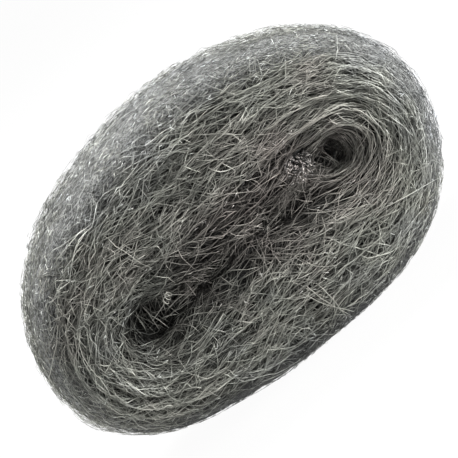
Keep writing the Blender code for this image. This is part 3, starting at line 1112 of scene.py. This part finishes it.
def dress():
    """Adds every piece, in the order that the random draws need.

    A group on the surface is given by its number of fibres, its bands, its depths and its lay.
    One across the slit is given by its number, its span in x, its depths, and the length,
    spread of headings and tones of its fibres.
    """
    rng = np.random.default_rng(SEED)
    cast = cast_group()
    fibre = steel_fibre(cast)
    deep_core()
    under = lay_fibres(rng, 4900, (-0.50, 0.93), (-0.0026, -0.0008), END_LAY)
    add_fibres("front_end_under", [under], fibre)
    over = lay_fibres(rng, 5200, (-0.12, 0.92), (-0.0012, 0.0000), END_LAY)
    add_fibres("front_end_over", [over], fibre)
    under = lay_fibres(rng, 9300, (0.86, 2.14), (-0.0014, -0.0005), WRAP_LAY)
    add_fibres("wrap_under", [under], fibre)
    over = lay_fibres(rng, 11200, (0.84, 2.16), (-0.0007, 0.0001), WRAP_OVER_LAY)
    add_fibres("wrap_over", [over], fibre)
    back = lay_fibres(rng, 4700, (2.08, 3.3), (-0.0024, 0.0000), END_LAY)
    across = slit_fibres(rng, 420, (-0.026, 0.026), (0.0001, 0.0040), 0.0100, 0.45, (0.62, 0.10))
    across[0][..., 1] *= -1
    add_fibres("back_end_fibres", [back, across], fibre)
    # painted glints: short specks and the cut ends in far brighter steel
    glinting = painted_glint_steel(cast)
    glints = [
        lay_fibres(rng, 1250, (0.88, 2.12), (0.0, 0.0003), GLINT_LAY),
        lay_fibres(rng, 260, (0.10, 0.90), (-0.0003, 0.0001), GLINT_LAY),
    ]
    add_fibres("short_glints", glints, glinting)
    haze = lay_fibres(rng, 1000, (0.95, 2.05), (-0.0002, 0.0004), HAZE_LAY)
    add_fibres("edge_haze", [haze], fibre)
    slit = [
        slit_fibres(rng, 320, (-0.005, 0.018), (0.0002, 0.0040), 0.0085, 0.42, (0.52, 0.05)),
        slit_fibres(rng, 160, (-0.021, -0.005), (0.0005, 0.0046), 0.0080, 0.58, (0.52, 0.06)),
        slit_fibres(rng, 80, (-0.032, -0.018), (0.0008, 0.0055), 0.0085, 1.3, (0.38, 0.06)),
        slit_fibres(rng, 28, (0.019, 0.026), (0.0012, 0.0060), 0.0052, 1.0, (0.55, 0.25)),
        slit_fibres(rng, 260, (-CORE_REACH, CORE_REACH), (0.0045, 0.0200), 0.0065, 0.9, (0.16, 0.04)),
    ]
    slit.append(lay_fibres(rng, 240, (-0.40, 0.03), (-0.0012, 0.0001), POCKET_LAY))
    in_pocket = np.random.default_rng(SEED + 1)
    pocket = ((0.0225, 0.0295), (0.0035, 0.0075), 0.0050, 1.0, (0.42, 0.22))
    slit.append(slit_fibres(in_pocket, 44, *pocket))
    add_fibres("slit_fibres", slit, fibre)
    add_fibres("cut_ends", [cut_ends(rng, 230)], glinting)
    add_fibres("stray_fibres", [strays(rng)], fibre)
    add_fibres("curled_fibre", [curled_fibre()], fibre)


# Studio


FRAME_PIXELS = 458
PIXELS_PER_MM = 4.74
FOCAL = 150.0
SENSOR = 36.0
VIEW_AZIMUTH = -3.0
VIEW_ELEVATION = 13.0
PICTURE_TURN = 41.17
AIM_RIGHT = 0.00156
AIM_UP = -0.00183


def camera():
    """A long lens a little above the roll, with the picture turned as in the photograph."""
    azimuth, elevation = math.radians(VIEW_AZIMUTH), math.radians(VIEW_ELEVATION)
    level = math.cos(elevation)
    ahead = Vector((-math.sin(azimuth) * level, math.cos(azimuth) * level, -math.sin(elevation)))
    right = Vector((math.cos(azimuth), math.sin(azimuth), 0.0))
    up = right.cross(ahead)
    turn = math.radians(PICTURE_TURN)
    view_right = right * math.cos(turn) - up * math.sin(turn)
    view_up = right * math.sin(turn) + up * math.cos(turn)
    width = FRAME_PIXELS / PIXELS_PER_MM / 1000
    distance = width * FOCAL / SENSOR
    middle = Vector(((LOW + HIGH) / 2).tolist())
    lens = bpy.data.cameras.new("camera")
    lens.lens, lens.sensor_width = FOCAL, SENSOR
    lens.clip_start = 0.01
    thing = bpy.data.objects.new("camera", lens)
    turned = Matrix((view_right, view_up, -ahead)).transposed().to_4x4()
    offset = view_right * AIM_RIGHT + view_up * AIM_UP
    turned.translation = middle - ahead * distance + offset
    thing.matrix_world = turned
    bpy.context.scene.collection.objects.link(thing)
    bpy.context.scene.camera = thing


FLOOR_REACH = 3.0
FLOOR_WHITE = 0.96
WORLD_STRENGTH = 0.50
LAMP_AIM = Vector((0.0, 0.0, 0.03))

# The lamps, as (name, place, size, power).
LAMPS = (("behind", (-0.05, 0.28, 0.50), 0.4, 7.6), ("side", (0.55, -0.28, 0.14), 0.4, 8.5))


def white_floor():
    """A grey floor that the camera and reflections see as nearly white."""
    material, nodes, links, shader = new_material("white_floor")
    shader.inputs["Base Color"].default_value = (0.9, 0.9, 0.9, 1)
    shader.inputs["Roughness"].default_value = 0.9
    sight = nodes.new("ShaderNodeLightPath")
    seen = nodes.new("ShaderNodeMath")
    seen.operation = "MAXIMUM"
    links.new(sight.outputs["Is Camera Ray"], seen.inputs[0])
    links.new(sight.outputs["Is Glossy Ray"], seen.inputs[1])
    share = nodes.new("ShaderNodeMath")
    share.operation = "MULTIPLY"
    share.inputs[1].default_value = FLOOR_WHITE
    links.new(seen.outputs[0], share.inputs[0])
    glow = nodes.new("ShaderNodeEmission")
    both = nodes.new("ShaderNodeMixShader")
    links.new(share.outputs[0], both.inputs["Fac"])
    links.new(shader.outputs[0], both.inputs[1])
    links.new(glow.outputs[0], both.inputs[2])
    links.new(both.outputs[0], nodes["Material Output"].inputs["Surface"])
    return material


def lay_floor():
    """A square floor that runs on past the view."""
    mesh = bpy.data.meshes.new("floor")
    corners = ((-1, -1), (1, -1), (1, 1), (-1, 1))
    mesh.from_pydata([(x * FLOOR_REACH, y * FLOOR_REACH, 0) for x, y in corners], [], [(0, 1, 2, 3)])
    mesh.materials.append(white_floor())
    floor = bpy.data.objects.new("floor", mesh)
    bpy.context.scene.collection.objects.link(floor)


def light_world():
    """An even white light from all round, which the camera sees as full white."""
    world = bpy.data.worlds.new("studio")
    world.use_nodes = True
    bpy.context.scene.world = world
    nodes, links = world.node_tree.nodes, world.node_tree.links
    nodes["Background"].inputs["Color"].default_value = (1, 1, 1, 1)
    nodes["Background"].inputs["Strength"].default_value = WORLD_STRENGTH
    seen = nodes.new("ShaderNodeBackground")
    seen.inputs["Color"].default_value = (1, 1, 1, 1)
    sight = nodes.new("ShaderNodeLightPath")
    both = nodes.new("ShaderNodeMixShader")
    links.new(sight.outputs["Is Camera Ray"], both.inputs["Fac"])
    links.new(nodes["Background"].outputs[0], both.inputs[1])
    links.new(seen.outputs[0], both.inputs[2])
    links.new(both.outputs[0], nodes["World Output"].inputs["Surface"])


def hang_lamps():
    """A soft lamp high behind the roll and one low in front of it at the right."""
    for name, place, size, power in LAMPS:
        lamp = bpy.data.lights.new(name, "AREA")
        lamp.size, lamp.energy = size, power
        thing = bpy.data.objects.new(name, lamp)
        thing.location = place
        aim = LAMP_AIM - Vector(place)
        thing.rotation_euler = aim.to_track_quat("-Z", "Y").to_euler()
        bpy.context.scene.collection.objects.link(thing)


def studio():
    """The floor, the light from all round and the two lamps."""
    bpy.context.scene.view_settings.view_transform = "Standard"
    lay_floor()
    light_world()
    hang_lamps()


dress()
camera()
studio()
